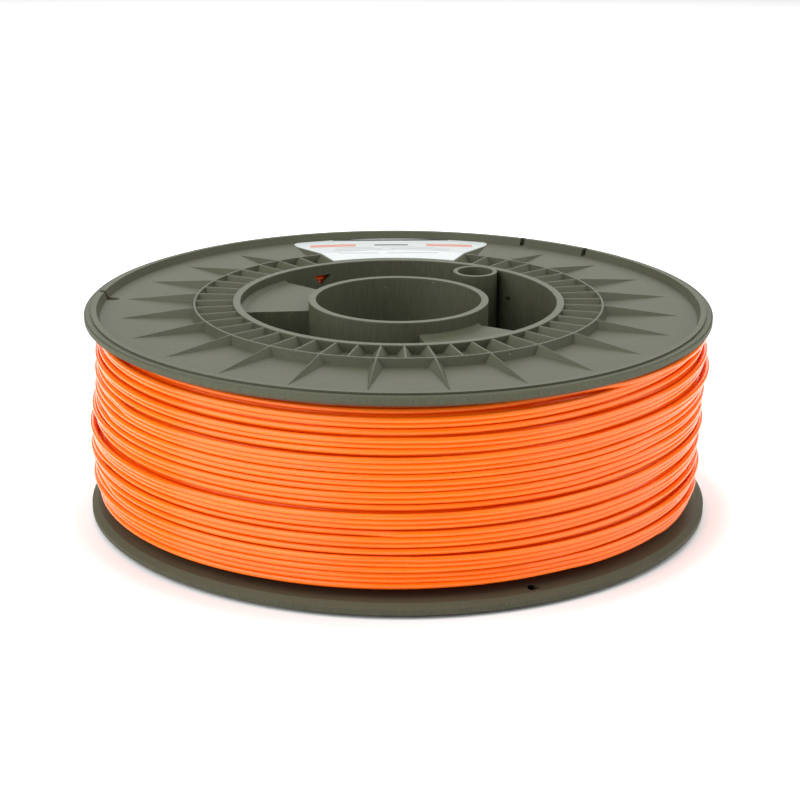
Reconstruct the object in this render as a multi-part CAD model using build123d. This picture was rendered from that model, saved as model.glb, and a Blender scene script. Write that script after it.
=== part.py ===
"""A full one-kilogram filament spool.

Two identical moulded halves plug together at mid-width. The filament is wound between their
flanges, and a label lies on the upper flange.

Frame: Z is the bore axis, Z = 0 is the hub's lower end face, X is azimuth 0. Azimuths are in
degrees, anticlockwise from above. Heights called a drop are measured down from the hub's upper
end face. The lower half is the upper half turned over about the level line at index_azimuth.
"""
from build123d import *
import math
import os

# ---- Driving dimensions, in millimetres and degrees ----

# The whole spool
overall_width = 67.4
flange_radius = 100.0
index_azimuth = 54.5

# Hub tube and drum
bore_radius = 26.6
hub_wall = 2.25
drum_radius = 53.0
drum_wall = 2.3
drum_lip_drop = 0.05

# Half-lap that joins the drums of the two halves
lap_height = 3.0
lap_clearance = 0.1
lap_end_clearance = 2.0

# Flange plate and rim
flange_floor_drop = 2.95
flange_plate = 1.4
rim_land_drop = 1.05
rim_side_height = 2.0
rim_bevel_width = 2.0
rim_land_width = 2.2
rim_bead_rise = 0.6
rim_bead_width = 1.7
rim_foot_run = 1.0
rim_edge_round = 0.5

# Stiffening ring around the drum, its fins, and the long ribs
ring_radius = 65.6
ring_top_width = 0.6
ring_outer_run = 1.0
ring_inner_run = 0.5
ring_top_drop = 0.2
fin_count = 48
fins_per_rib = 2
fin_top_width = 0.4
fin_flank_run = 2.2
rib_tip_radius = 89.0

# Smooth field for the label, in place of the fins and ribs, flush with their crests
field_azimuth = 92.0
field_pitches = 6

# Webs between hub tube and drum: hollow boxes, open towards mid-width
web_span = 47.0
web_plate = 2.0
web_wall = 1.8
outer_bead_web_azimuth = 162.5
outer_bead_web_drop = 3.4
outer_bead_width = 1.7
hub_bead_web_azimuth = 306.5
hub_bead_web_drop = 4.6
hub_bead_width = 1.5
web_bead_height = 0.8

# Drive-pin tube inside the drum, and what is left of the drum wall outside it
pin_tube_radius = 7.4
pin_tube_skin = 1.1
pin_bore_radius = 6.0

# Openings for the filament: start hole and pin hole in the drum, end hole and slots at the rim
start_hole_azimuth = 121.0
start_hole_drop = 3.6
start_hole_width = 7.0
start_hole_height = 3.6
vent_azimuth = 43.0
vent_drop = 9.4
vent_radius = 0.85
end_hole_offset = 120.0
end_hole_radius = 1.75
end_hole_inset = 6.0
end_hole_lean = 50.0
rim_slot_offset = 7.7
rim_slot_width = 1.8
rim_slot_depth = 1.6

# Filament winding
filament_diameter = 1.75
winding_drum_clearance = 0.05
winding_side_clearance = 0.3
winding_crown_inset = 1.8
winding_edge_inset = 8.0

# Label
label_thickness = 0.12
label_glue = 0.02
label_inner_margin = 1.5
label_outer_margin = 0.6
label_side_margin = 0.4
label_corner = 3.0

# ---- Sizes that follow ----

middle = overall_width / 2
hub_radius = bore_radius + hub_wall
drum_bore = drum_radius - drum_wall
pin_tube_offset = drum_radius - pin_tube_skin - pin_tube_radius
lip_z = overall_width - drum_lip_drop
land_z = overall_width - rim_land_drop
floor_z = overall_width - flange_floor_drop
plate_z = floor_z - flange_plate
bead_z = land_z + rim_bead_rise
bead_outer = flange_radius - rim_land_width
bead_inner = bead_outer - rim_bead_width
rim_foot = bead_inner - rim_foot_run
ring_z = overall_width - ring_top_drop
fin_pitch = 360.0 / fin_count
field_span = field_pitches * fin_pitch
field_start = field_azimuth - field_span / 2
winding_top = plate_z - winding_side_clearance
winding_bottom = overall_width - winding_top
overlap = 0.4


def at_azimuth(shape, azimuth):
    """Turn a shape drawn along +X to an azimuth."""
    return shape.rotate(Axis.Z, azimuth)


def turned(outline, start=0.0, span=360.0):
    """Solid swept by a closed outline of (radius, height) points about the bore axis."""
    points = [(radius, 0, height) for radius, height in outline]
    face = make_face(Polyline(*points, close=True))
    return at_azimuth(revolve(face, Axis.Z, span), start)


def tube(outer, inner, bottom, top, start=0.0, span=360.0):
    """Plain ring, or a sector of one, between two radii and two heights."""
    return turned([(inner, bottom), (outer, bottom), (outer, top), (inner, top)], start, span)


def flange():
    """Drum wall, flange plate and thick rim, turned in one outline."""
    side_z = land_z - rim_side_height
    outline = [
        (drum_bore, middle),
        (drum_radius, middle),
        (drum_radius, plate_z),
        (flange_radius - rim_bevel_width, plate_z),
        (flange_radius, side_z),
        (flange_radius, land_z - rim_edge_round),
        (flange_radius - rim_edge_round, land_z),
        (bead_outer, land_z),
        (bead_outer, bead_z),
        (bead_inner, bead_z),
        (rim_foot, floor_z),
        (drum_radius, floor_z),
        (drum_radius, lip_z),
        (drum_bore, lip_z),
    ]
    return turned(outline)


def ring():
    """Upright ring on the flange floor, with sloping sides."""
    inner = ring_radius - ring_top_width
    outline = [
        (inner - ring_inner_run, floor_z - overlap),
        (ring_radius + ring_outer_run, floor_z - overlap),
        (ring_radius + ring_outer_run, floor_z),
        (ring_radius, ring_z),
        (inner, ring_z),
        (inner - ring_inner_run, floor_z),
    ]
    return turned(outline)


def ridge_section(radius):
    """Section of a fin at a radius: a narrow flat top on two even flanks."""
    foot = fin_top_width / 2 + fin_flank_run
    top = fin_top_width / 2
    points = [
        (radius, -foot, floor_z),
        (radius, foot, floor_z),
        (radius, top, ring_z),
        (radius, -top, ring_z),
    ]
    return make_face(Polyline(*points, close=True))


def fin():
    """Short fin from the drum wall to the ring."""
    start = drum_radius - overlap
    length = ring_radius - ring_top_width / 2 - start
    return extrude(ridge_section(start), length, dir=(1, 0, 0))


def rib():
    """Long rib that runs out from the ring to a point on the flange floor."""
    tip = Vertex(rib_tip_radius, 0, floor_z)
    return loft([ridge_section(ring_radius - ring_top_width / 2), tip])


def fins_and_ribs():
    """Every fin around the drum outside the label's field, and a long rib behind every second one."""
    shapes = []
    for count in range(fin_count - field_pitches + 1):
        azimuth = field_start + field_span + count * fin_pitch
        shapes.append(at_azimuth(fin(), azimuth))
        if count % fins_per_rib == 0:
            shapes.append(at_azimuth(rib(), azimuth))
    return shapes


def field_surface(start_radius, end_radius, lift=0.0):
    """Points along the field's surface: level to the ring, down to the floor, then level again."""
    return [
        (start_radius, ring_z + lift),
        (ring_radius, ring_z + lift),
        (rib_tip_radius, floor_z + lift),
        (end_radius, floor_z + lift),
    ]


def label_field():
    """Smooth sector from the drum to the floor, flush with the crests of the fins and ribs."""
    outline = field_surface(drum_radius - overlap, rib_tip_radius + overlap)
    outline.append((rib_tip_radius + overlap, floor_z - overlap))
    outline.append((drum_radius - overlap, floor_z - overlap))
    return turned(outline, field_start, field_span)


def web(azimuth, drop):
    """Hollow box between the hub tube and the drum: a top plate and two side walls."""
    top = overall_width - drop
    inner = hub_radius - overlap
    outer = drum_bore + overlap
    wall_span = math.degrees(web_wall / ((hub_radius + drum_bore) / 2))
    start = azimuth - web_span / 2
    plate = tube(outer, inner, top - web_plate, top, start, web_span)
    near_wall = tube(outer, inner, middle, top, start, wall_span)
    far_wall = tube(outer, inner, middle, top, start + web_span - wall_span, wall_span)
    return [plate, near_wall, far_wall]


def web_bead(azimuth, drop, inner, outer, rise_inner, rise_outer):
    """Low bead along a web's inner or outer edge, with a sloping face towards the open web."""
    base = overall_width - drop
    outline = [
        (inner, base - overlap),
        (outer, base - overlap),
        (outer, base + rise_outer),
        (inner, base + rise_inner),
    ]
    return turned(outline, azimuth - web_span / 2, web_span)


def lap_tongue():
    """Half-thickness tongue below mid-width, over the half turn after the index azimuth."""
    outer = drum_radius - drum_wall / 2 - lap_clearance
    start = index_azimuth + lap_end_clearance
    span = 180.0 - 2 * lap_end_clearance
    return tube(outer, drum_bore, middle - lap_height, middle + overlap, start, span)


def lap_rebate():
    """Seat for the other half's tongue, over the half turn before the index azimuth."""
    outer = drum_radius - drum_wall / 2
    return tube(outer, drum_bore, middle, middle + lap_height + lap_clearance, index_azimuth - 180.0, 180.0)


def start_hole():
    """Three-cornered hole through the drum wall, flat side up, for the filament's first end."""
    top = overall_width - start_hole_drop
    points = [
        (drum_bore - overlap, -start_hole_width / 2, top),
        (drum_bore - overlap, start_hole_width / 2, top),
        (drum_bore - overlap, 0, top - start_hole_height),
    ]
    face = make_face(Polyline(*points, close=True))
    return at_azimuth(extrude(face, drum_wall + 2 * overlap, dir=(1, 0, 0)), start_hole_azimuth)


def vent():
    """Small round hole through the drum wall."""
    rod = Cylinder(vent_radius, drum_wall + 2 * overlap, rotation=(0, 90, 0))
    rod = rod.moved(Location((drum_radius - drum_wall / 2, 0, overall_width - vent_drop)))
    return at_azimuth(rod, vent_azimuth)


def end_hole():
    """Leaning hole through the plate beside the rim, for the filament's last end."""
    rod = Cylinder(end_hole_radius, 4 * flange_plate, rotation=(0, -end_hole_lean, 0))
    rod = rod.moved(Location((flange_radius - end_hole_inset, 0, floor_z)))
    return at_azimuth(rod, index_azimuth + end_hole_offset)


def rim_slot(azimuth):
    """Short upright slot in the rim's inner wall."""
    length = rim_slot_depth + rim_foot_run
    height = bead_z - floor_z
    slot = Box(length, rim_slot_width, height, align=(Align.MIN, Align.CENTER, Align.MIN))
    return at_azimuth(slot.moved(Location((rim_foot, 0, floor_z))), azimuth)


def spool_half():
    """One moulded half, in the place of the upper half."""
    half = flange() + ring() + label_field()
    half = half + fins_and_ribs()
    half = half + tube(hub_radius, bore_radius, middle, overall_width)
    half = half + web(outer_bead_web_azimuth, outer_bead_web_drop)
    half = half + web(hub_bead_web_azimuth, hub_bead_web_drop)
    half = half + web_bead(
        outer_bead_web_azimuth, outer_bead_web_drop,
        drum_bore - outer_bead_width, drum_bore + overlap, 0.0, web_bead_height)
    half = half + web_bead(
        hub_bead_web_azimuth, hub_bead_web_drop,
        hub_radius - overlap, hub_radius + hub_bead_width, web_bead_height, 0.0)
    half = half + lap_tongue()
    pin_axis = Location((pin_tube_offset, 0, middle))
    base = (Align.CENTER, Align.CENTER, Align.MIN)
    pin_tube = Cylinder(pin_tube_radius, lip_z - middle, align=base).moved(pin_axis)
    half = half + at_azimuth(pin_tube, index_azimuth)
    pin_bore = Cylinder(pin_bore_radius, overall_width, align=Align.CENTER).moved(pin_axis)
    half = half - at_azimuth(pin_bore, index_azimuth)
    half = half - lap_rebate() - start_hole() - vent() - end_hole()
    half = half - rim_slot(index_azimuth - rim_slot_offset) - rim_slot(index_azimuth + rim_slot_offset)
    half = half - rim_slot(index_azimuth + end_hole_offset)
    return half


def turned_over(shape):
    """A half of the spool turned half a turn about the level line at the index azimuth."""
    angle = math.radians(index_azimuth)
    line = Axis((0, 0, middle), (math.cos(angle), math.sin(angle), 0))
    return shape.rotate(line, 180)


def winding():
    """Closed ring with the outer shape of the wound filament: a barrel of even turns."""
    width = winding_top - winding_bottom
    inner = drum_radius + winding_drum_clearance
    turns = int(width / filament_diameter)
    pitch = width / turns
    crown = flange_radius - winding_crown_inset
    sag = winding_edge_inset - winding_crown_inset

    def wound_radius(share):
        """Radius of the turns at a share of the width, from 0 at the bottom to 1 at the top."""
        return crown - sag * (2 * share - 1) ** 4

    def wound_point(step, inset):
        """A point a number of turns above the bottom, at an inset from the turns' outer radius."""
        return (wound_radius(step / turns) - inset, 0, winding_bottom + step * pitch)

    valley = filament_diameter / 2
    first = wound_point(0, valley)
    last = wound_point(turns, valley)
    edges = Polyline(first, (inner, 0, winding_bottom), (inner, 0, winding_top), last)
    arcs = []
    for turn in range(turns):
        low = wound_point(turn, valley)
        crest = wound_point(turn + 0.5, 0)
        high = wound_point(turn + 1, valley)
        arcs.append(ThreePointArc(low, crest, high))
    return revolve(make_face(edges + arcs), Axis.Z, 360)


def label_plan():
    """Plan of the label: a sector of the field with two round outer corners."""
    inner = drum_radius + label_inner_margin
    outer = rim_foot - label_outer_margin
    half_span = math.radians(field_span / 2) - label_side_margin / outer
    middle_angle = math.radians(field_azimuth)

    def plan_point(radius, side):
        """A point at a radius, on a side from -1 to 1 of the field's centre line."""
        angle = middle_angle + side * half_span
        return (radius * math.cos(angle), radius * math.sin(angle))

    outline = [
        Line(plan_point(inner, -1), plan_point(outer, -1)),
        ThreePointArc(plan_point(outer, -1), plan_point(outer, 0), plan_point(outer, 1)),
        Line(plan_point(outer, 1), plan_point(inner, 1)),
        ThreePointArc(plan_point(inner, 1), plan_point(inner, 0), plan_point(inner, -1)),
    ]
    plan = make_face(outline)
    corners = plan.vertices().filter_by(lambda corner: math.hypot(corner.X, corner.Y) > outer - 1)
    return fillet(corners, label_corner)


def label():
    """Thin sticker that follows the field's surface."""
    under = field_surface(drum_radius, rim_foot, label_glue)
    over = field_surface(drum_radius, rim_foot, label_glue + label_thickness)
    sheet = turned(under + over[::-1], field_start, field_span)
    return sheet & extrude(label_plan(), 2 * overall_width)


def main():
    """Write every node."""
    os.makedirs("parts", exist_ok=True)
    upper = spool_half()
    nodes = {
        "upper_spool_half": upper,
        "lower_spool_half": turned_over(upper),
        "filament_winding": winding(),
        "flange_label": label(),
    }
    for name, shape in nodes.items():
        export_step(shape, "parts/" + name + ".step")
        print(name, len(shape.solids()), "solid, volume", round(shape.volume), "mm3")


if __name__ == "__main__":
    main()
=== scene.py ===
# %% [markdown]
# A full filament spool, dressed for its portrait.
#
# Two dark olive mouldings carry a kilogram of glossy orange filament, and a printed label lies on
# the upper flange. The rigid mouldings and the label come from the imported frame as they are. The
# wound filament is built here, strand by strand, because light on a spool is light on strands.
#
# The frame puts Z on the bore axis, with Z = 0 at the lower end of the hub. Everything below is in
# metres; MM turns a size in millimetres into metres.

# %% Load the frame
import math

import bpy
import numpy as np
from mathutils import Matrix, Vector


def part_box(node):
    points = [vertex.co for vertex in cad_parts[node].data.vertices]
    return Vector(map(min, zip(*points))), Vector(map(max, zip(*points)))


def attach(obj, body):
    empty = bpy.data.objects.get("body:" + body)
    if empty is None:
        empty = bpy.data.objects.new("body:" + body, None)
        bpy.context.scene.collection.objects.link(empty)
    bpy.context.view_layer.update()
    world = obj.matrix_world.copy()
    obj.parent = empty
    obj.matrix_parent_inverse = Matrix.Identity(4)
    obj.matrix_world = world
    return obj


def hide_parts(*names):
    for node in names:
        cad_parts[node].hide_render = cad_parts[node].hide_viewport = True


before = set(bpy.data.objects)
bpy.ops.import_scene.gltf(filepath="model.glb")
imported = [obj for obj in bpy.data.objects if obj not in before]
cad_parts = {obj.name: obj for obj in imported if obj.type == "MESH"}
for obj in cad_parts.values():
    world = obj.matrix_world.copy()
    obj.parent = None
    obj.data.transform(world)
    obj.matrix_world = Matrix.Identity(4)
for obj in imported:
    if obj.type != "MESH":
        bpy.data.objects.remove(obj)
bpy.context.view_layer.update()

MM = 0.001

# %% [markdown]
# Colours are picked as sRGB hex values, the way a maker reads them off a swatch. Cycles counts
# light in linear units, so one function turns each swatch into linear light. A second small
# function adds a shader node, sets it and wires it, so that a material reads as a list of steps.

# %% Colour and node helpers


def linear(swatch):
    """Linear RGBA of an sRGB hex colour: each channel below 0.04045 is divided by 12.92, and above it
    ((channel + 0.055) / 1.055) to the power 2.4."""
    channels = np.array([int(swatch[i:i + 2], 16) for i in (1, 3, 5)]) / 255
    light = np.where(channels <= 0.04045, channels / 12.92, ((channels + 0.055) / 1.055) ** 2.4)
    return (*light.tolist(), 1.0)


def node(tree, kind, inputs=None, **settings):
    """Add one shader node. settings are its properties; inputs fills or links its sockets."""
    made = tree.nodes.new("ShaderNode" + kind)
    for name, value in settings.items():
        setattr(made, name, value)
    for socket, value in (inputs or {}).items():
        if isinstance(value, bpy.types.NodeSocket):
            tree.links.new(value, made.inputs[socket])
        else:
            made.inputs[socket].default_value = value
    return made


def new_material(name):
    """An empty node material and its output node."""
    made = bpy.data.materials.new(name)
    made.use_nodes = True
    made.node_tree.nodes.clear()
    return made, node(made.node_tree, "OutputMaterial")


def two_tone(tree, factor, low_end, high_end):
    """Colour that runs between two swatches. Each end is a position on the factor and a swatch."""
    ramp = node(tree, "ValToRGB", {"Fac": factor})
    for element, (position, swatch) in zip(ramp.color_ramp.elements, (low_end, high_end)):
        element.position = position
        element.color = linear(swatch)
    return ramp.outputs["Color"]


print("filament orange in linear light:", [round(v, 3) for v in linear("#F87614")])

# %% [markdown]
# A wound strand is a round tube carried along a path that goes round and round the drum. One
# function turns a grid of points into a mesh: rows run along the strand and columns run round it.
# The columns close on themselves, the two ends get a cap each, and the UV map is in metres, so that
# a pattern can follow the strand without stretching.

# %% Grid of points to a closed mesh


def closed_mesh(name, points, lengths, girths, ring):
    """Mesh of a grid of points, rows x columns x 3, whose columns close on themselves. With ring the
    rows close too; without it the first and last row are capped. The UV map holds lengths along the
    rows and girths along the columns, each with one value more than there are faces that way."""
    rows, columns = points.shape[:2]
    row_faces = rows if ring else rows - 1
    row, column = np.meshgrid(np.arange(row_faces), np.arange(columns), indexing="ij")
    next_row, next_column = (row + 1) % rows, (column + 1) % columns
    corners = [(row, column), (row, next_column), (next_row, next_column), (next_row, column)]
    quads = np.stack([r * columns + c for r, c in corners], -1).reshape(-1, 4)
    u = np.stack([lengths[row], lengths[row], lengths[row + 1], lengths[row + 1]], -1)
    v = np.stack([girths[column], girths[column + 1], girths[column + 1], girths[column]], -1)
    uv = np.stack([u, v], -1).reshape(-1, 2)
    faces = quads.tolist()
    if not ring:
        first = np.arange(columns)[::-1]
        last = np.arange(columns) + (rows - 1) * columns
        faces += [first.tolist(), last.tolist()]
        uv = np.concatenate([uv, np.zeros((2 * columns, 2))])
    mesh = bpy.data.meshes.new(name)
    mesh.from_pydata(points.reshape(-1, 3).tolist(), [], faces)
    mesh.uv_layers.new(name="along_strand").data.foreach_set("uv", uv.ravel())
    mesh.shade_smooth()
    made = bpy.data.objects.new(name, mesh)
    bpy.context.scene.collection.objects.link(made)
    print(name, "has", len(faces), "faces")
    return made


# %% [markdown]
# The filament is 1.75 mm thick and lies in layers. Each layer is one helix: the drum turns while
# the strand travels from one flange to the other, and at the flange it steps up and travels back.
# The machine's guide wanders a little, so the outer strands lie from tight together to a good
# fraction of a strand apart. Light reaches two layers, so two are laid, on a plain core.
#
# The pack of turns isn't a true cylinder. It is a barrel that falls away at both flanges, and it
# leans a little: full and high on one side, full and low on the other.

# %% Sizes of the wound pack
wound_low, wound_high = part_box("filament_winding")
lower_low, lower_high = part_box("lower_spool_half")
STRAND = 1.75 * MM
HALF_WIDTH = (wound_high.z - wound_low.z) / 2
MIDDLE = (wound_high.z + wound_low.z) / 2
CROWN = wound_high.x - 0.7 * MM
TURN_SAMPLES = 240
LEAN = 1.4 * MM
UPPER_FALL = 5.0 * MM
LOWER_FALL = 10.0 * MM
FALL_POWER = 10
UNDER_STRETCH = 1.035


def pack_radius(azimuth, height, stretch=1.0):
    """Outer radius of the pack: crown + lean * share * cos(azimuth) - fall * share to the power
    FALL_POWER. share runs from -1 at the lower flange to 1 at the upper one, times the stretch, so
    a stretch above 1 makes the fall begin sooner."""
    share = stretch * np.clip((height - MIDDLE) / HALF_WIDTH, -1, 1)
    fall = np.where(share > 0, UPPER_FALL, LOWER_FALL)
    return CROWN + LEAN * share * np.cos(azimuth) - fall * share ** FALL_POWER


print("pack of turns:", round(2 * HALF_WIDTH / MM, 1), "mm wide,", round(CROWN / MM, 1), "mm crown")

# %% [markdown]
# How a strand finds its radius: it is pulled tight onto whatever lies below it. Two round strands
# whose centres are a height h apart touch when their radii differ by the square root of the
# strand's diameter squared less h squared. So each point of a strand takes the largest of those
# radii over every strand laid before it. Then the strand is pulled taut, which bridges hollows with
# straight chords. Laying whole turns at a time keeps this fast: each turn is one array.

# %% How a strand rests and is pulled taut
TURNS_IN_REACH = 3
TAUT_ROUNDS = 60


def resting_radius(height, under_height, under_radius, floor):
    """Radius at which a strand rests on the strands below it: the largest of the floor and of
    under_radius + sqrt(diameter squared - height difference squared)."""
    gap = height[None, :] - under_height
    climb = np.sqrt(np.clip(STRAND ** 2 - gap ** 2, 0, None))
    touching = np.abs(gap) < STRAND
    return np.maximum(floor, np.where(touching, under_radius + climb, 0).max(0))


def pulled_taut(radius):
    """Radius after tension: each point rises to the chord between its two neighbours, which at a
    step angle a is 2 r1 r2 cos(a) / (r1 + r2)."""
    step = math.cos(2 * math.pi / TURN_SAMPLES)
    for _ in range(TAUT_ROUNDS):
        chord = 2 * radius[2:] * radius[:-2] * step / (radius[2:] + radius[:-2])
        radius[1:-1] = np.maximum(radius[1:-1], chord)
    return radius


def laid_layer(height, floor, under=None):
    """Radius of every turn of a layer. height and floor are turns x samples; under is the height and
    radius of the layer below. Each turn rests on the last few turns and on that layer."""
    radius = np.array(floor)
    for turn in range(len(height)):
        earliest = max(0, turn - TURNS_IN_REACH)
        below_height, below_radius = height[earliest:turn], radius[earliest:turn]
        if under is not None:
            below_height = np.concatenate([below_height, under[0]])
            below_radius = np.concatenate([below_radius, under[1]])
        if len(below_height):
            radius[turn] = resting_radius(height[turn], below_height, below_radius, floor[turn])
        first = max(0, turn - 1)
        recent = pulled_taut(radius[first:turn + 1].ravel().copy())
        radius[turn] = recent.reshape(-1, radius.shape[1])[-1]
    return radius


print("a strand rests on the last", TURNS_IN_REACH, "turns and on the layer below")

# %% [markdown]
# Where the guide puts the strand: it climbs evenly and wanders on slow waves. The least gap between
# turns is just under a strand's diameter, so crowded turns ride up on each other a little. On one
# side a few slack turns stand off the pack.

# %% Lay the two layers
UNDER_PITCH = 1.82 * MM
UNDER_WANDER = 0.2 * MM
UNDER_DEPTH = 1.55 * STRAND
UNDER_SEED = 5
OUTER_PITCH = 1.93 * MM
OUTER_WANDER = 0.65 * MM
OUTER_DEPTH = 0.75 * STRAND
OUTER_SEED = 11
WANDER_RATES = np.array([0.113, 0.317, 0.743, 1.271, 2.137])
WANDER_WEIGHTS = np.array([0.5, 1.0, 0.9, 0.55, 0.22])
EDGE_STRANDS = 4
LEAST_GAP = 1.71 * MM
GAP_SOFTNESS = 0.1 * MM
SLACK_AZIMUTH = math.radians(183)
SLACK_SPREAD = math.radians(22)
SLACK_HEIGHT = 25.5 * MM
SLACK_REACH = 4.5 * MM
SLACK_DEPTH = 0.9 * MM


def wander(path, seed, reach):
    """Slow wander of the guide along the strand: reach * sum(weight * sin(rate * path + phase)) /
    sum(weights), over five waves of unrelated lengths."""
    chance = np.random.default_rng(seed)
    phases = chance.uniform(0, 2 * math.pi, len(WANDER_RATES))
    waves = np.sin(path[..., None] * WANDER_RATES + phases) * WANDER_WEIGHTS
    return reach * waves.sum(-1) / WANDER_WEIGHTS.sum()


def slack(azimuth, height):
    """How far slack turns stand off the pack: depth * exp(-(turned / spread) squared - (height from
    the slack's middle / reach) squared)."""
    turned = (azimuth - SLACK_AZIMUTH + math.pi) % (2 * math.pi) - math.pi
    bell = (turned / SLACK_SPREAD) ** 2 + ((height - SLACK_HEIGHT) / SLACK_REACH) ** 2
    return SLACK_DEPTH * np.exp(-bell)


def kept_apart(height, travel):
    """Heights whose turns don't press into each other: each gap becomes the least gap plus half of
    (d + sqrt(d squared + softness squared)), where d is the gap less the least gap. The sum of the
    gaps is then scaled back to the layer's travel."""
    rising = np.sign(height[-1, -1] - height[0, 0])
    spare = rising * np.diff(height, axis=0) - LEAST_GAP
    gaps = LEAST_GAP + (spare + np.sqrt(spare ** 2 + GAP_SOFTNESS ** 2)) / 2
    climbed = np.concatenate([np.zeros_like(height[:1]), np.cumsum(gaps, 0)])
    scale = (travel - abs(height[0, -1] - height[0, 0])) / climbed[-1].mean()
    return height[0] + rising * climbed * scale


def layer_heights(pitch, rising, seed, reach):
    """Azimuth and height of every sample of a layer: a helix from one flange to the other, plus a
    wander that dies out near the flanges and is strongest where cos(azimuth) squared is 1."""
    travel = 2 * HALF_WIDTH - STRAND
    turns = int(travel / pitch) + 1
    samples = np.arange(turns * TURN_SAMPLES).reshape(turns, TURN_SAMPLES)
    azimuth = samples * 2 * math.pi / TURN_SAMPLES
    climb = np.linspace(0, travel, samples.size).reshape(samples.shape)
    start = MIDDLE - HALF_WIDTH + STRAND / 2
    height = start + climb if rising else start + travel - climb
    edge_room = np.clip(np.minimum(climb, travel - climb) / (EDGE_STRANDS * STRAND), 0, 1)
    sides = 0.75 + 0.9 * np.cos(azimuth) ** 2
    height = kept_apart(height + wander(azimuth, seed, reach) * edge_room * sides, travel)
    return azimuth, np.clip(height, start, start + travel)


under_azimuth, under_height = layer_heights(UNDER_PITCH, False, UNDER_SEED, UNDER_WANDER)
under_floor = pack_radius(under_azimuth, under_height, UNDER_STRETCH) - UNDER_DEPTH
under_radius = laid_layer(under_height, under_floor)
outer_azimuth, outer_height = layer_heights(OUTER_PITCH, True, OUTER_SEED, OUTER_WANDER)
outer_floor = pack_radius(outer_azimuth, outer_height) - OUTER_DEPTH
outer_radius = laid_layer(outer_height, outer_floor, (under_height, under_radius))
outer_radius += slack(outer_azimuth, outer_height)
outer_radius = np.minimum(outer_radius, lower_high.x - STRAND / 2)
print("outer layer:", len(outer_height), "turns, radius", (outer_radius.min() / MM).round(1), "to",
      (outer_radius.max() / MM).round(1), "mm")

# %% [markdown]
# A tube along that path needs two directions across it. The strand runs nearly level, so the way
# out from the bore axis and the way up do. Each point of the tube is the centre, plus the strand's
# radius times the cosine of an angle outwards and the sine of it upwards.

# %% Tubes for the two layers


def strand_tube(name, azimuth, radius, height, sides):
    """Tube of the strand's radius round the path given by cylindrical coordinates."""
    azimuth, radius, height = azimuth.ravel(), radius.ravel(), height.ravel()
    outwards = np.stack([np.cos(azimuth), np.sin(azimuth), np.zeros_like(azimuth)], -1)
    upwards = np.array([0.0, 0.0, 1.0])
    centre = outwards * radius[:, None] + upwards * height[:, None]
    turn = np.arange(sides) * 2 * math.pi / sides
    across = outwards[:, None] * np.cos(turn)[:, None] + upwards * np.sin(turn)[:, None]
    points = centre[:, None] + across * (STRAND / 2)
    steps = np.linalg.norm(np.diff(centre, axis=0), axis=1)
    lengths = np.concatenate([[0], np.cumsum(steps)])
    girths = np.arange(sides + 1) * math.pi * STRAND / sides
    made = closed_mesh(name, points, lengths, girths, ring=False)
    print(name, "is a strand", round(float(lengths[-1]), 2), "m long")
    return made


outer_layer = strand_tube("outer_filament_layer", outer_azimuth, outer_radius, outer_height, 12)
under_layer = strand_tube("under_filament_layer", under_azimuth, under_radius, under_height, 8)

# %% [markdown]
# Under the two layers is a closed ring for the rest of the filament. Its inner side can be seen
# through the small holes in the drum, so it has the round backs of the first layer's turns. Its
# outer side hides below the under layer and follows the same barrel.

# %% Core of the pack
CORE_INSIDE = 53.05 * MM
CORE_DEPTH = 2.1 * STRAND
CORE_AROUND = 160
BARREL_HEIGHTS = 48
BACK_STEPS = 6


def core_points():
    """Ring of the pack's section. The outer side is the pack's radius less the core's depth. The
    inner side is a row of half rounds, one for each turn of the first layer, at the core's inside
    radius + STRAND / 2 * (1 - sin(pi * share of the turn))."""
    turns = int(2 * HALF_WIDTH / STRAND)
    pitch = 2 * HALF_WIDTH / turns
    along = np.linspace(0, turns, turns * BACK_STEPS + 1)
    backs = CORE_INSIDE + STRAND / 2 * (1 - np.sin(math.pi * (along % 1)))
    inner_height = MIDDLE + HALF_WIDTH - along * pitch
    outer_height = np.linspace(MIDDLE - HALF_WIDTH, MIDDLE + HALF_WIDTH, BARREL_HEIGHTS)
    azimuth = np.arange(CORE_AROUND) * 2 * math.pi / CORE_AROUND
    outer = pack_radius(azimuth[:, None], outer_height[None, :]) - CORE_DEPTH
    inner_side = np.broadcast_to(backs, (CORE_AROUND, len(backs)))
    radius = np.concatenate([outer, inner_side], 1)
    height = np.concatenate([outer_height, inner_height])
    return np.stack([
        radius * np.cos(azimuth)[:, None],
        radius * np.sin(azimuth)[:, None],
        np.broadcast_to(height, radius.shape),
    ], -1)


core_grid = core_points()
core_columns = core_grid.shape[1]
core = closed_mesh(
    "filament_core", core_grid,
    lengths=np.arange(CORE_AROUND + 1) * 2 * math.pi * CROWN / CORE_AROUND,
    girths=np.arange(core_columns + 1) * STRAND / BACK_STEPS, ring=True)

# %% Hang the three pieces on the frame
for piece in (outer_layer, under_layer, core):
    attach(piece, "root")
    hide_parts("filament_winding")
print("filament pieces on the frame:", [piece.name for piece in (outer_layer, under_layer, core)])
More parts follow.
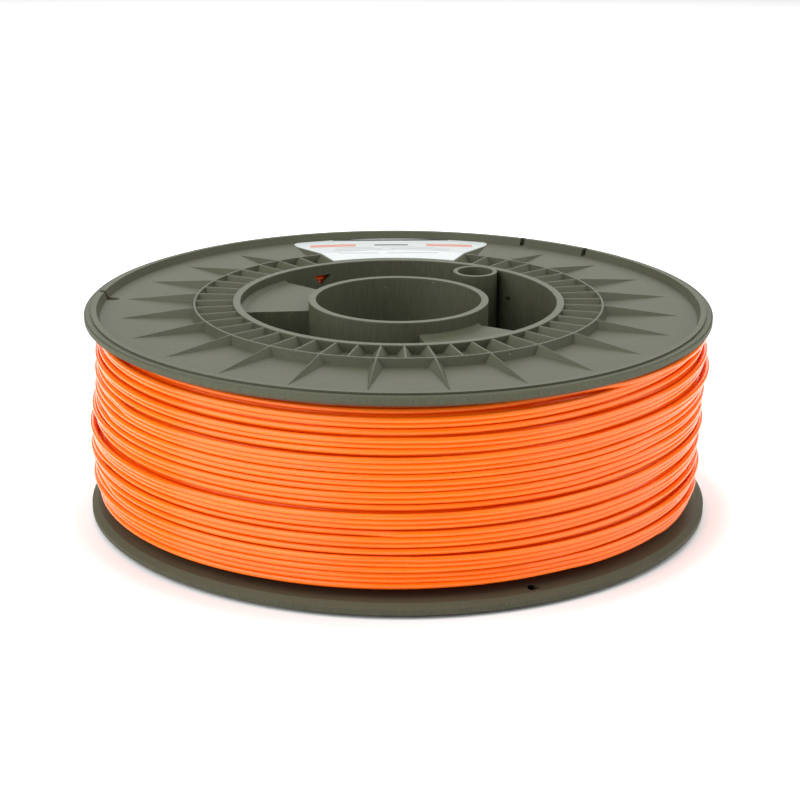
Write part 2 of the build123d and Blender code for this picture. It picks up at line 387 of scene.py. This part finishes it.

# %% [markdown]
# The filament is PLA, extruded through a round die and drawn out while warm. That leaves a smooth,
# glossy skin with faint lines along the strand. The hollows between strands stay a deep red orange,
# from light bounced between the strands and scattered under their skin. A faint red emission stands
# for that: a painted glow over the whole strand.
# It is far cheaper than light scattered under the skin.

# %% Extruded PLA
PATCH_LENGTH = 40 * MM
DIE_LINE_LENGTH = 25 * MM
DIE_LINE_WIDTH = 0.22 * MM
DIE_LINE_DEPTH = 0.01 * MM
pla, pla_output = new_material("extruded_pla_orange")
tree = pla.node_tree
strand_map = node(tree, "UVMap", uv_map="along_strand").outputs["UV"]
patches = node(tree, "TexNoise", {
    "Vector": node(tree, "Mapping", {
        "Vector": strand_map, "Scale": (1 / PATCH_LENGTH, 0.0, 0.0)}).outputs[0],
    "Scale": 1.0, "Detail": 2.0})
colour = two_tone(tree, patches.outputs["Fac"], (0.3, "#F3680C"), (0.7, "#F87614"))
die_lines = node(tree, "TexNoise", {
    "Vector": node(tree, "Mapping", {
        "Vector": strand_map,
        "Scale": (1 / DIE_LINE_LENGTH, 1 / DIE_LINE_WIDTH, 0.0)}).outputs[0],
    "Scale": 1.0, "Detail": 2.0})
bump = node(tree, "Bump", {
    "Height": die_lines.outputs["Fac"], "Distance": DIE_LINE_DEPTH, "Strength": 0.3})
gloss = node(tree, "MapRange", {
    "Value": patches.outputs["Fac"], "To Min": 0.16, "To Max": 0.24})
# The emission is a painted glow, standing in for light bounced between strands and scattered under
# the skin.
skin = node(tree, "BsdfPrincipled", {
    "Base Color": colour, "Roughness": gloss.outputs[0],
    "Normal": bump.outputs[0], "IOR": 1.46, "Specular IOR Level": 0.5,
    "Emission Color": linear("#FF3000"), "Emission Strength": 0.06})
tree.links.new(skin.outputs[0], pla_output.inputs["Surface"])
for piece in (outer_layer, under_layer, core):
    piece.data.materials.append(pla)
print("filament material:", pla.name)

# %% [markdown]
# The halves are injection moulded in ABS, in a dark olive grey. The mould's faces are spark eroded,
# which leaves a fine matt grain, coarser to the eye on upright walls, where pulling the part out of
# its mould also drags it into upright streaks. The highest faces, the crests, the lips and the bead
# of the rim, are painted lighter: partly the wear of stacking and handling, partly a painted
# highlight for the light their rounded tops catch. A few specks of dust have settled on top. The
# shade is
# a sum: a base, plus clouds, plus marks, which are stronger the steeper the face.

# %% Moulded ABS: grain, streaks and clouds
CLOUD_SIZE = 22 * MM
GRAIN_SIZE = 0.45 * MM
STREAK_WIDTH = 0.5 * MM
STREAK_LENGTH = 6 * MM
BASE_SHADE = 0.39
CLOUD_SHARE = 0.22
MARK_SHARE = 3.0
abs_plastic, abs_output = new_material("moulded_abs_olive_grey")
tree = abs_plastic.node_tree
place = node(tree, "TexCoord").outputs["Object"]
clouds = node(tree, "TexNoise", {"Vector": place, "Scale": 1 / CLOUD_SIZE, "Detail": 3.0})
grain = node(tree, "TexNoise", {
    "Vector": place, "Scale": 1 / GRAIN_SIZE, "Detail": 3.0, "Roughness": 0.7})
streaks = node(tree, "TexNoise", {
    "Vector": node(tree, "Mapping", {
        "Vector": place,
        "Scale": (1 / STREAK_WIDTH, 1 / STREAK_WIDTH, 1 / STREAK_LENGTH)}).outputs[0],
    "Scale": 1.0, "Detail": 2.0})
upward = node(tree, "SeparateXYZ", {0: node(tree, "NewGeometry").outputs["Normal"]}).outputs["Z"]
steepness = node(tree, "Math", {
    0: 1.0, 1: node(tree, "Math", {0: upward}, operation="ABSOLUTE").outputs[0]},
    operation="SUBTRACT").outputs[0]
wall_marks = node(tree, "Mix", {
    0: 0.5, 2: grain.outputs["Fac"], 3: streaks.outputs["Fac"]}, data_type="FLOAT").outputs[0]
marks = node(tree, "Mix", {
    0: steepness, 2: grain.outputs["Fac"], 3: wall_marks}, data_type="FLOAT").outputs[0]
mark_reach = node(tree, "MapRange", {
    "Value": steepness, "To Min": 0.12, "To Max": 0.36}).outputs[0]
mark_shade = node(tree, "Math", {
    0: node(tree, "Math", {0: marks, 1: 0.5}, operation="SUBTRACT").outputs[0], 1: mark_reach},
    operation="MULTIPLY").outputs[0]
cloud_shade = node(tree, "Math", {
    0: clouds.outputs["Fac"], 1: CLOUD_SHARE}, operation="MULTIPLY").outputs[0]
shade = node(tree, "Math", {
    0: node(tree, "Math", {0: mark_shade, 1: MARK_SHARE}, operation="MULTIPLY").outputs[0],
    1: node(tree, "Math", {0: cloud_shade, 1: BASE_SHADE}, operation="ADD").outputs[0]},
    operation="ADD").outputs[0]
colour = two_tone(tree, shade, (0.0, "#2E2F21"), (1.0, "#5D5F4C"))
print("grain", GRAIN_SIZE / MM, "mm, streaks", STREAK_LENGTH / MM, "mm long")

# %% Moulded ABS: worn crests with painted highlight, and dust
WEAR_AND_HIGHLIGHT_FROM = 33.1 * MM
WEAR_AND_HIGHLIGHT_TO = 33.5 * MM
WEAR_AND_HIGHLIGHT_SHARE = 0.3
DUST_SPACING = 6 * MM
DUST_RADIUS = 0.18 * MM
DUST_SHARE = 0.5
GRAIN_DEPTH = 0.05 * MM
from_middle = node(tree, "Math", {
    0: node(tree, "Math", {
        0: node(tree, "SeparateXYZ", {0: place}).outputs["Z"], 1: MIDDLE},
        operation="SUBTRACT").outputs[0]}, operation="ABSOLUTE").outputs[0]
# Lighter on the highest faces: part wear from stacking and handling, part painted highlight for the
# light their crests catch.
wear_and_highlight = node(tree, "MapRange", {
    "Value": from_middle, "From Min": WEAR_AND_HIGHLIGHT_FROM, "From Max": WEAR_AND_HIGHLIGHT_TO,
    "To Min": 0.0, "To Max": WEAR_AND_HIGHLIGHT_SHARE}).outputs[0]
worn_and_highlighted = node(tree, "Mix", {
    0: wear_and_highlight, 6: colour, 7: linear("#6A6C5C")}, data_type="RGBA").outputs[2]
dust = node(tree, "TexVoronoi", {"Vector": place, "Scale": 1 / DUST_SPACING})
dusty = node(tree, "Math", {
    0: dust.outputs["Distance"], 1: DUST_RADIUS / DUST_SPACING},
    operation="LESS_THAN").outputs[0]
dust_share = node(tree, "Math", {0: dusty, 1: DUST_SHARE}, operation="MULTIPLY").outputs[0]
finished = node(tree, "Mix", {
    0: dust_share, 6: worn_and_highlighted, 7: linear("#A9ABA0")}, data_type="RGBA").outputs[2]
bump = node(tree, "Bump", {"Height": marks, "Distance": GRAIN_DEPTH, "Strength": 0.5})
skin = node(tree, "BsdfPrincipled", {
    "Base Color": finished, "Roughness": 0.6, "Normal": bump.outputs[0],
    "IOR": 1.54, "Specular IOR Level": 0.2})
tree.links.new(skin.outputs[0], abs_output.inputs["Surface"])
for half in ("upper_spool_half", "lower_spool_half"):
    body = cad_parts[half]
    body.data.materials.clear()
    body.data.materials.append(abs_plastic)
print("moulding material:", abs_plastic.name)

# %% [markdown]
# The label is white paper under a clear film. It says nothing: where a maker prints a name and
# figures, this one has two salmon bars, two plain dark bars and thin grey rules. Each mark is a box
# on the label's own axes, across and outwards, so a Compare node each way is enough to draw it.
# PRINT gives each ink its boxes: middle across, middle outwards, width and height in millimetres.

# %% Laminated paper label
LABEL_AZIMUTH = math.radians(92.0)
LABEL_TURN = math.pi / 2 - LABEL_AZIMUTH
FIBRE_SIZE = 1.2 * MM
FIBRE_DEPTH = 0.02 * MM
PRINT = {
    "#B97868": [(-20.9, 81.2, 16.5, 7.0), (20.9, 81.2, 16.5, 7.0)],
    "#34373A": [(0.0, 92.3, 42.0, 2.0), (0.0, 81.0, 12.0, 3.6)],
    "#83888A": [
        (-13.0, 74.6, 13.0, 1.1), (6.0, 74.6, 19.0, 1.1),
        (-12.0, 70.4, 17.0, 1.1), (10.0, 70.4, 21.0, 1.1),
        (-10.0, 66.2, 22.0, 1.0), (12.0, 66.2, 16.0, 1.0),
        (-12.0, 61.6, 14.0, 1.0), (7.0, 61.6, 18.0, 1.0)],
}
paper, paper_output = new_material("laminated_paper_label")
tree = paper.node_tree
place = node(tree, "TexCoord").outputs["Object"]
on_label = node(tree, "SeparateXYZ", {0: node(tree, "Mapping", {
    "Vector": place, "Rotation": (0.0, 0.0, LABEL_TURN)}).outputs[0]})
across, outwards = on_label.outputs["X"], on_label.outputs["Y"]
fibre = node(tree, "TexNoise", {"Vector": place, "Scale": 1 / FIBRE_SIZE, "Detail": 4.0})
printed = two_tone(tree, fibre.outputs["Fac"], (0.3, "#AFB5B4"), (0.7, "#B9BFBE"))
for ink, marks_of_ink in PRINT.items():
    covered = 0.0
    for middle_x, middle_y, width, height in marks_of_ink:
        in_width = node(tree, "Math", {
            0: across, 1: middle_x * MM, 2: width / 2 * MM}, operation="COMPARE").outputs[0]
        in_height = node(tree, "Math", {
            0: outwards, 1: middle_y * MM, 2: height / 2 * MM}, operation="COMPARE").outputs[0]
        covered = node(tree, "Math", {
            0: in_width, 1: in_height, 2: covered}, operation="MULTIPLY_ADD").outputs[0]
    printed = node(tree, "Mix", {
        0: covered, 6: printed, 7: linear(ink)}, data_type="RGBA").outputs[2]
bump = node(tree, "Bump", {
    "Height": fibre.outputs["Fac"], "Distance": FIBRE_DEPTH, "Strength": 0.2})
skin = node(tree, "BsdfPrincipled", {
    "Base Color": printed, "Roughness": 0.4, "Normal": bump.outputs[0], "IOR": 1.5,
    "Specular IOR Level": 0.3})
tree.links.new(skin.outputs[0], paper_output.inputs["Surface"])
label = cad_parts["flange_label"]
label.data.materials.clear()
label.data.materials.append(paper)
print("label marks:", sum(len(boxes) for boxes in PRINT.values()))

# %% [markdown]
# The set: a pale floor, a dim even surround and four soft boxes. The floor glows away from the
# spool, as a table lit from below does, so that it reads as white all round.

# %% Floor and surround
FLOOR = 3.0
GLOW_FROM = 105 * MM
GLOW_TO = 130 * MM
GLOW_STRENGTH = 0.5
SURROUND_STRENGTH = 0.05
floor_mesh = bpy.data.meshes.new("studio_floor")
floor_mesh.from_pydata(
    [(-FLOOR, -FLOOR, 0), (FLOOR, -FLOOR, 0), (FLOOR, FLOOR, 0), (-FLOOR, FLOOR, 0)], [],
    [(0, 1, 2, 3)])
studio_floor = bpy.data.objects.new("studio_floor", floor_mesh)
bpy.context.scene.collection.objects.link(studio_floor)
floor_paint, floor_output = new_material("matt_white_floor")
tree = floor_paint.node_tree
from_spool = node(tree, "VectorMath", {
    0: node(tree, "TexCoord").outputs["Object"]}, operation="LENGTH").outputs["Value"]
glow = node(tree, "MapRange", {
    "Value": from_spool, "From Min": GLOW_FROM, "From Max": GLOW_TO,
    "To Min": 0.0, "To Max": GLOW_STRENGTH})
skin = node(tree, "BsdfPrincipled", {
    "Base Color": (0.9, 0.9, 0.9, 1.0), "Roughness": 0.9,
    "Emission Color": (1.0, 1.0, 1.0, 1.0), "Emission Strength": glow.outputs[0]})
tree.links.new(skin.outputs[0], floor_output.inputs["Surface"])
floor_mesh.materials.append(floor_paint)

surround = bpy.data.worlds.new("white_surround")
surround.use_nodes = True
background = surround.node_tree.nodes["Background"]
background.inputs["Color"].default_value = (1.0, 1.0, 1.0, 1.0)
background.inputs["Strength"].default_value = SURROUND_STRENGTH
bpy.context.scene.world = surround
print("floor", 2 * FLOOR, "m square, surround strength", SURROUND_STRENGTH)

# %% [markdown]
# Four square soft boxes face the middle of the spool: one at the left as the main light, one at the
# right to open the shadows, one overhead and one behind for the flange. SOFT_BOXES gives each its
# place and side in metres and its power in watts.

# %% Soft boxes
CENTRE = (0.0, 0.0, MIDDLE)
SOFT_BOXES = {
    "left_soft_box": ((-0.74, -0.52, 0.63), 1.2, 15.5),
    "right_soft_box": ((0.89, -0.16, 0.63), 1.2, 10.0),
    "top_soft_box": ((0.0, 0.0, 1.3), 0.9, 6.7),
    "back_soft_box": ((0.0, 0.9, 0.75), 1.2, 10.8),
}


def soft_box(name, place, side, watts):
    """A square soft box at a place, facing the middle of the spool: its minus Z axis points along
    centre minus place."""
    light = bpy.data.lights.new(name, "AREA")
    light.size = side
    light.energy = watts
    lamp = bpy.data.objects.new(name, light)
    bpy.context.scene.collection.objects.link(lamp)
    facing = (Vector(CENTRE) - Vector(place)).to_track_quat("-Z", "Y")
    lamp.matrix_world = Matrix.Translation(place) @ facing.to_matrix().to_4x4()


for name, (place, side, watts) in SOFT_BOXES.items():
    soft_box(name, place, side, watts)
print("soft boxes:", len(SOFT_BOXES), "with", sum(box[2] for box in SOFT_BOXES.values()), "W in all")

# %% [markdown]
# The camera stands well back with a long lens, so that the flanges stay near to true ellipses.

# %% Camera
CAMERA_PLACE = (0.60 * MM, -617.3 * MM, 234.05 * MM)
CAMERA_PITCH = math.radians(18.028)
CAMERA_ROLL = math.radians(0.2553)
SENSOR_WIDTH = 36.0
FOCAL_LENGTH = 89.51
lens = bpy.data.cameras.new("portrait_camera")
lens.sensor_width = SENSOR_WIDTH
lens.lens = FOCAL_LENGTH
lens.clip_start = 0.01
camera = bpy.data.objects.new("portrait_camera", lens)
bpy.context.scene.collection.objects.link(camera)
camera.matrix_world = (
    Matrix.Translation(CAMERA_PLACE)
    @ Matrix.Rotation(math.pi / 2 - CAMERA_PITCH, 4, "X")
    @ Matrix.Rotation(CAMERA_ROLL, 4, "Z"))
bpy.context.scene.camera = camera
bpy.context.scene.view_settings.view_transform = "Standard"
view_angle = math.degrees(2 * math.atan(SENSOR_WIDTH / 2 / FOCAL_LENGTH))
print("the camera sees", round(view_angle, 1), "degrees across")
